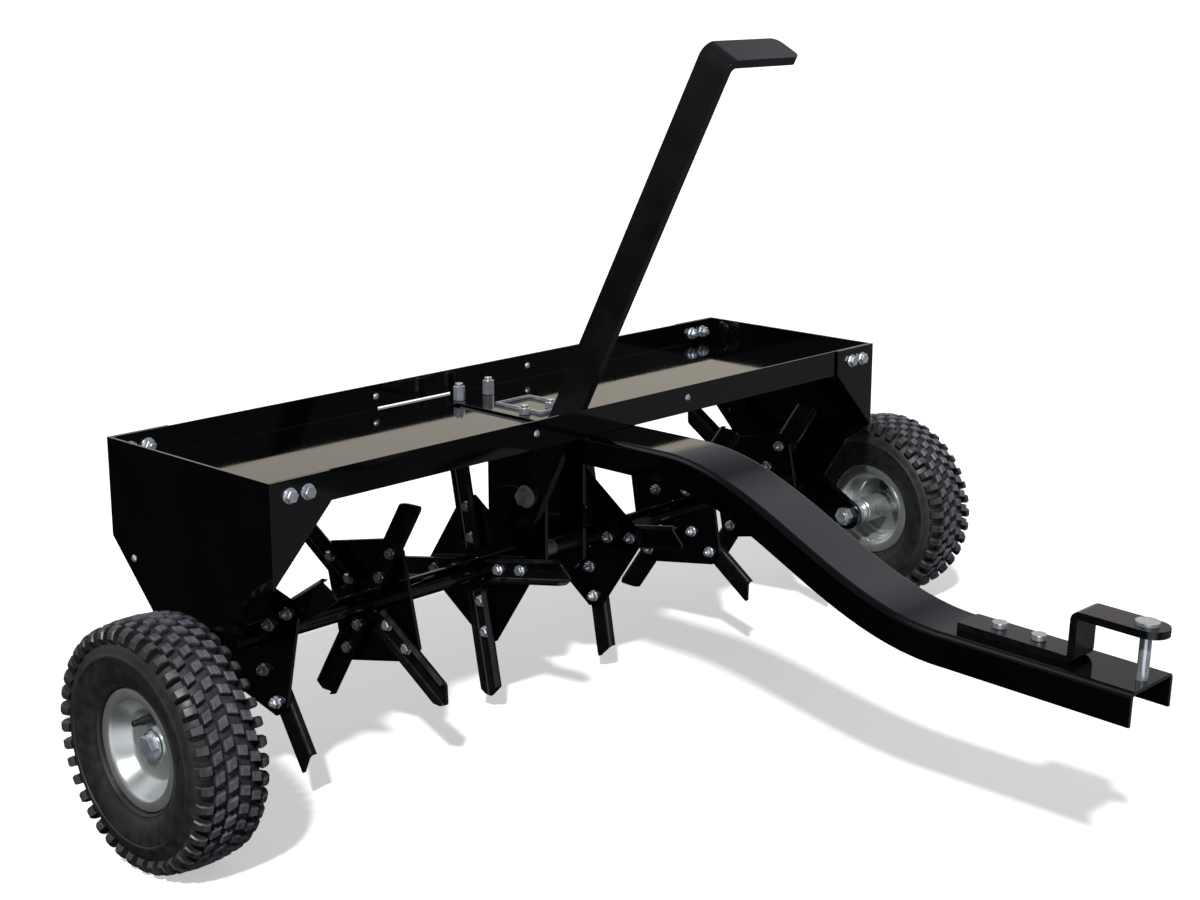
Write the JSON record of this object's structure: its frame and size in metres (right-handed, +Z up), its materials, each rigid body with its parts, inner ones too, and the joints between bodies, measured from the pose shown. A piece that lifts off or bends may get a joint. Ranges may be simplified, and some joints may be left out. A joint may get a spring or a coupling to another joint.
{
  "type": "tow-behind core aerator",
  "caption": "Tow-behind lawn core aerator: a weight tray over star wheels of coring spoons, a curved tongue with a pin hitch, and a hand lever that raises the frame on two pneumatic wheels.",
  "frame": {"origin": "centre of the box of the whole machine, on the ground under it", "axes": "+X across the machine from the left wheel to the right wheel, +Y from the hitch to the tray, +Z up"},
  "size_m": [1.312, 1.0176, 0.8144],
  "materials": {
    "black_gloss": "gloss black powder coat",
    "black_satin": "satin black powder coat",
    "zinc_fastener": "bright zinc plate",
    "plain_steel": "dull rolled steel",
    "rim_zinc": "zinc plated pressed steel",
    "tyre_rubber": "black rubber, block tread"
  },
  "bodies": {
    "frame": {"tray_pan": "black_gloss", "end_plate_left": "black_gloss", "end_plate_right": "black_gloss", "axle_bush_left": "plain_steel", "axle_bush_right": "plain_steel", "centre_hanger": "black_gloss", "tongue": "black_gloss", "hitch_strap": "black_satin", "tongue_bolt_1": "zinc_fastener", "tongue_bolt_2": "zinc_fastener", "tongue_bolt_3": "zinc_fastener", "tongue_bolt_4": "zinc_fastener", "strap_bolt_1": "zinc_fastener", "strap_bolt_2": "zinc_fastener"},
    "lift": {"main_axle": "plain_steel", "lift_lever": "black_gloss", "stop_bolt": "plain_steel", "wheel_arm_left": "black_gloss", "wheel_arm_right": "black_gloss", "wheel_stub_left": "zinc_fastener", "wheel_stub_right": "zinc_fastener", "wheel_nut_left": "zinc_fastener", "wheel_nut_right": "zinc_fastener"},
    "wheel_left": {"tyre_left": "tyre_rubber", "rim_left": "rim_zinc"},
    "wheel_right": {"tyre_right": "tyre_rubber", "rim_right": "rim_zinc"},
    "gang_left": {"gang_tube_left": "black_gloss", "star_plate_1": "black_gloss", "spoon_1_1": "black_satin", "spoon_1_2": "black_satin", "spoon_1_3": "black_satin", "spoon_1_4": "black_satin", "star_plate_2": "black_gloss", "spoon_2_1": "black_satin", "spoon_2_2": "black_satin", "spoon_2_3": "black_satin", "spoon_2_4": "black_satin", "star_plate_3": "black_gloss", "spoon_3_1": "black_satin", "spoon_3_2": "black_satin", "spoon_3_3": "black_satin", "spoon_3_4": "black_satin"},
    "gang_right": {"gang_tube_right": "black_gloss", "star_plate_4": "black_gloss", "spoon_4_1": "black_satin", "spoon_4_2": "black_satin", "spoon_4_3": "black_satin", "spoon_4_4": "black_satin", "star_plate_5": "black_gloss", "spoon_5_1": "black_satin", "spoon_5_2": "black_satin", "spoon_5_3": "black_satin", "spoon_5_4": "black_satin", "star_plate_6": "black_gloss", "spoon_6_1": "black_satin", "spoon_6_2": "black_satin", "spoon_6_3": "black_satin", "spoon_6_4": "black_satin"},
    "pin": {"hitch_pin": "zinc_fastener"}
  },
  "joints": [
    {"name": "lift_swing", "type": "hinge", "parent": "frame", "child": "lift", "pos_m": [0, 0.34999, 0.17749], "axis": [1, 0, 0], "range_deg": [-44, 0]},
    {"name": "wheel_spin_left", "type": "hinge", "parent": "lift", "child": "wheel_left", "pos_m": [-0.614, 0.26293, 0.1312], "axis": [1, 0, 0], "continuous": true},
    {"name": "wheel_spin_right", "type": "hinge", "parent": "lift", "child": "wheel_right", "pos_m": [0.614, 0.26293, 0.1312], "axis": [1, 0, 0], "continuous": true},
    {"name": "gang_spin_left", "type": "hinge", "parent": "frame", "child": "gang_left", "pos_m": [-0.279, 0.34999, 0.17749], "axis": [1, 0, 0], "continuous": true},
    {"name": "gang_spin_right", "type": "hinge", "parent": "frame", "child": "gang_right", "pos_m": [0.279, 0.34999, 0.17749], "axis": [1, 0, 0], "continuous": true},
    {"name": "pin_lift", "type": "slide", "parent": "frame", "child": "pin", "axis": [0, -0.0349, 0.9994], "range_m": [0, 0.09]}
  ]
}
